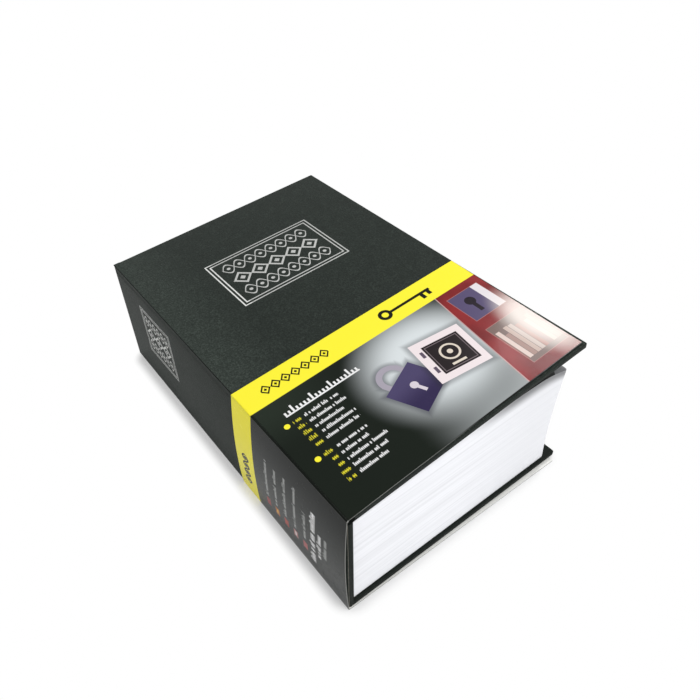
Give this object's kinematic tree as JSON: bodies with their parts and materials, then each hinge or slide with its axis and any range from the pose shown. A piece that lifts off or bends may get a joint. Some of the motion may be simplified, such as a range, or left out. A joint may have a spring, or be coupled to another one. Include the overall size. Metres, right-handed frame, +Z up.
{
  "type": "book diversion safe",
  "caption": "Dummy hardback book whose page block holds a steel box with a hinged lid, a cam lock and keys, in a card sleeve.",
  "frame": {"origin": "centre of the bounding box's bottom face, on the surface that the book lies on", "axes": "+Z up, out of the front cover; +Y along the spine towards the head; -X towards the spine"},
  "size_m": [0.1166, 0.182, 0.0658],
  "materials": {
    "board": "raw grey bookbinding board",
    "leatherette": "black leather-grain covering paper, satin, with silver foil rules and ornaments",
    "endpaper": "matt uncoated paper",
    "pages": "cut edges of white leaves, matt, finely lined",
    "painted_steel": "black powder coat, fine orange peel",
    "plain_steel": "zinc-plated steel",
    "lock_chrome": "bright chrome plate on die-cast zinc",
    "wafer_brass": "plain stamped brass",
    "key_nickel": "nickel-plated, lightly brushed",
    "sleeve_card": "white card, printed dark with a yellow band and gloss laminated outside"
  },
  "bodies": {
    "book": {"back_board": "board", "spine_board": "board", "cover_paper_back": "leatherette", "cover_paper_spine": "leatherette", "back_lining": "endpaper", "page_block": "pages", "steel_tray": "painted_steel", "hinge_pin": "plain_steel", "strike_bracket": "plain_steel"},
    "joint_strip": {"cover_paper_joint": "leatherette"},
    "cover": {"cover_paper_front": "leatherette", "front_board": "board", "front_lining": "endpaper"},
    "box_lid": {"lid_panel": "painted_steel", "lock_housing": "lock_chrome", "lock_washer": "plain_steel", "lock_nut": "plain_steel"},
    "plug": {"lock_plug": "lock_chrome", "cam": "plain_steel", "cam_washer": "plain_steel", "cam_screw": "plain_steel", "wafer_1": "wafer_brass", "wafer_2": "wafer_brass", "wafer_3": "wafer_brass", "wafer_4": "wafer_brass", "wafer_spring_1": "plain_steel", "wafer_spring_2": "plain_steel", "wafer_spring_3": "plain_steel", "wafer_spring_4": "plain_steel"},
    "first_key": {"key_1": "key_nickel"},
    "second_key": {"key_2": "key_nickel"},
    "sleeve": {"sleeve_back": "sleeve_card", "sleeve_spine": "sleeve_card"},
    "sleeve_edge": {"sleeve_fold": "sleeve_card"},
    "sleeve_face": {"sleeve_front": "sleeve_card"}
  },
  "joints": [
    {"name": "cover_swing", "type": "hinge", "parent": "book", "child": "joint_strip", "pos_m": [-0.05668, 0.001, 0.05535], "axis": [0, -1, 0], "range_deg": [0, 203]},
    {"name": "cover_press", "type": "hinge", "parent": "joint_strip", "child": "cover", "pos_m": [-0.05368, 0.001, 0.05549], "axis": [0, -1, 0], "range_deg": [-5, 0], "stiffness_Nm_per_rad": 0.25, "springref_deg": 11.46},
    {"name": "lid_hinge", "type": "hinge", "parent": "book", "child": "box_lid", "pos_m": [-0.05158, 0.001, 0.05], "axis": [0, -1, 0], "range_deg": [0, 120]},
    {"name": "lock_turn", "type": "hinge", "parent": "box_lid", "child": "plug", "pos_m": [0.02463, 0.001, 0.045], "axis": [0, 0, -1], "range_deg": [0, 90]},
    {"name": "key_1_slide", "type": "slide", "parent": "book", "child": "first_key", "axis": [0, -1, 0], "range_m": [0, 0.11]},
    {"name": "key_2_slide", "type": "slide", "parent": "book", "child": "second_key", "axis": [0, -1, 0], "range_m": [0, 0.11]},
    {"name": "sleeve_slide", "type": "slide", "parent": "book", "child": "sleeve", "axis": [0, -1, 0], "range_m": [0, 0.076]},
    {"name": "sleeve_swing", "type": "hinge", "parent": "sleeve", "child": "sleeve_edge", "pos_m": [-0.05668, 0.001, 0.05535], "axis": [0, -1, 0], "range_deg": [0, 203]},
    {"name": "sleeve_press", "type": "hinge", "parent": "sleeve_edge", "child": "sleeve_face", "pos_m": [-0.05368, 0.001, 0.05549], "axis": [0, -1, 0], "range_deg": [-5, 0]}
  ],
  "couplings": [
    {"joint": "lid_hinge", "follows": "cover_swing", "ratio": 0.59113},
    {"joint": "sleeve_swing", "follows": "cover_swing", "ratio": 1},
    {"joint": "sleeve_press", "follows": "cover_press", "ratio": 1}
  ]
}
